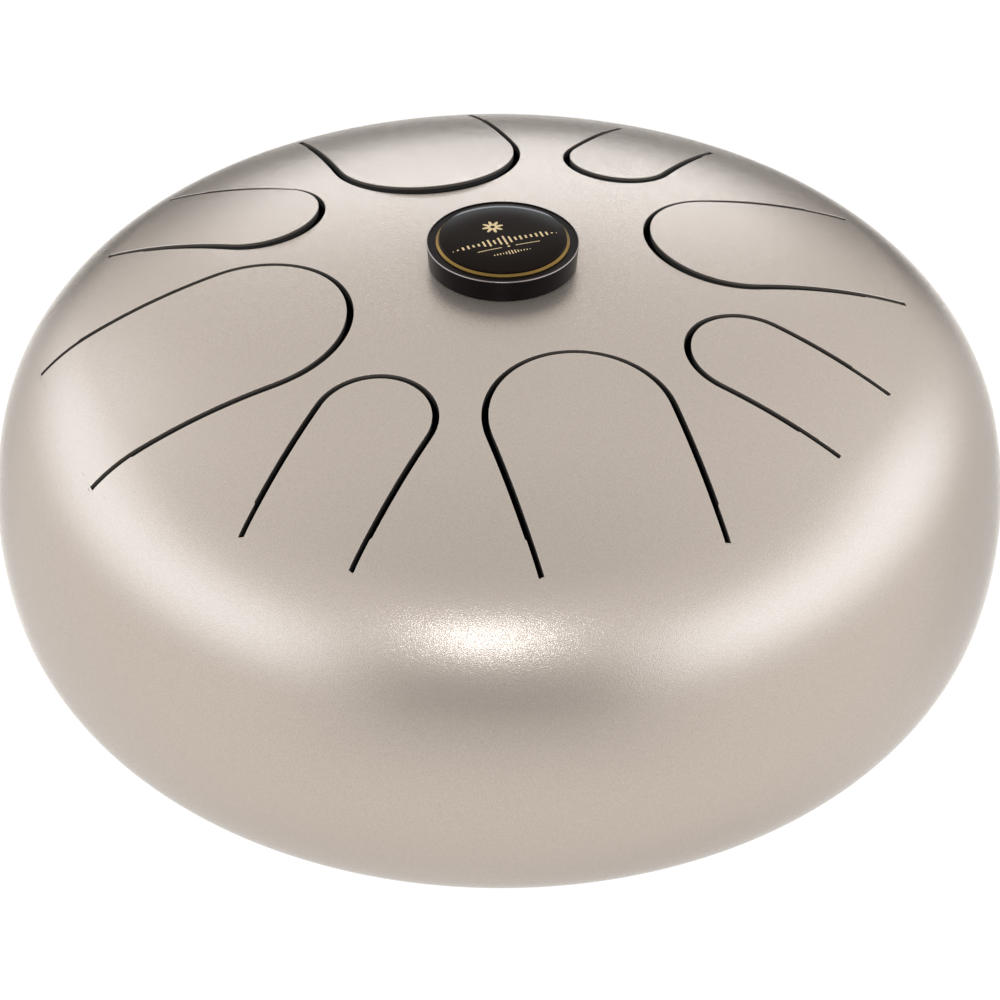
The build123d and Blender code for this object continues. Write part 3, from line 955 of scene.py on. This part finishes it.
def make_lamp(name, bearing, height, distance, size, power):
    """A lamp, size wide and high, aimed at the middle of the drum. bearing and height are in degrees
    as the patches' are, distance and size in metres."""
    data = bpy.data.lights.new(name, "AREA")
    data.shape, data.energy, data.color = "ELLIPSE", power, COOL_WHITE[:3]
    data.size, data.size_y = size
    lamp = bpy.data.objects.new(name, data)
    bpy.context.scene.collection.objects.link(lamp)
    turn, lift = np.radians(bearing), np.radians(height)
    away = Vector((np.sin(turn) * np.cos(lift), -np.cos(turn) * np.cos(lift), np.sin(lift)))
    middle = Vector((0, 0, WIDEST * MM))
    lamp.location = middle + away * distance
    lamp.rotation_mode = "QUATERNION"
    lamp.rotation_quaternion = away.to_track_quat("Z", "Y")
    lamp.visible_camera = False


def make_floor():
    """A white floor that the camera sees. The world lights the drum from below as well."""
    mesh = bpy.data.meshes.new("floor")
    corners = [(x * FLOOR_HALF, y * FLOOR_HALF, 0) for x, y in ((-1, -1), (1, -1), (1, 1), (-1, 1))]
    mesh.from_pydata(corners, [], [(0, 1, 2, 3)])
    floor = bpy.data.objects.new("floor", mesh)
    bpy.context.scene.collection.objects.link(floor)
    glow = dict(Emission_Color=grey(1.0), Emission_Strength=BACKDROP_GLOW)
    mesh.materials.append(new_material("floor_white", Base_Color=grey(0.0), Roughness=1.0, **glow))
    for kind in ("diffuse", "glossy", "transmission", "shadow"):
        setattr(floor, f"visible_{kind}", False)


# ---------------------------------------------------------------------------------------- assembly


def finish_piece(piece, node, *slots):
    """Gives a piece its materials, in order, and hides its CAD node."""
    for slot in slots:
        piece.data.materials.append(materials[slot])
    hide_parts(node)


materials = {name: new_material(name, **finish) for name, finish in FINISHES.items()}
PAINTED = ("champagne_paint", "slot_wall_shade", "painted_shade_black")

for made, node, *slots in (
    (make_upper_shell(), "upper_shell", *PAINTED),
    (make_lower_shell(), "lower_shell", *PAINTED),
    (make_seam_weld(), "seam_weld", "champagne_paint"),
    (make_badge_cup(), "badge_cup", "black_gloss", "painted_edge_highlight"),
    (make_badge_ring(), "badge_ring", "gold_trim"),
    (make_badge_dome(), "badge_dome", "printed_resin"),
):
    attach(made, "drum")
    finish_piece(made, node, *slots)

for number, tongue in enumerate(TONGUES):
    piece = make_tongue(number)
    line = [(seam(tongue), tongue.side), (seam(tongue) - BEND_LENGTH, tongue.side)] @ axes(number)
    start, end = sheet(line)[0] * MM
    node = f"tongue_{number + 1}"
    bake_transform(piece)
    finish_piece(piece, node, *PAINTED)

for subpart in frame["record"]["subparts"]:
    node = frame["nodes"][subpart["node"]]
    node.data.materials.clear()
    node.data.materials.append(materials[subpart["material_slot"]])

make_camera()
make_world()
make_lamp("key_lamp", bearing=-3, height=41, distance=2.2, size=(0.48, 0.11), power=4.8)
make_floor()
bpy.context.scene.view_settings.view_transform = "Standard"
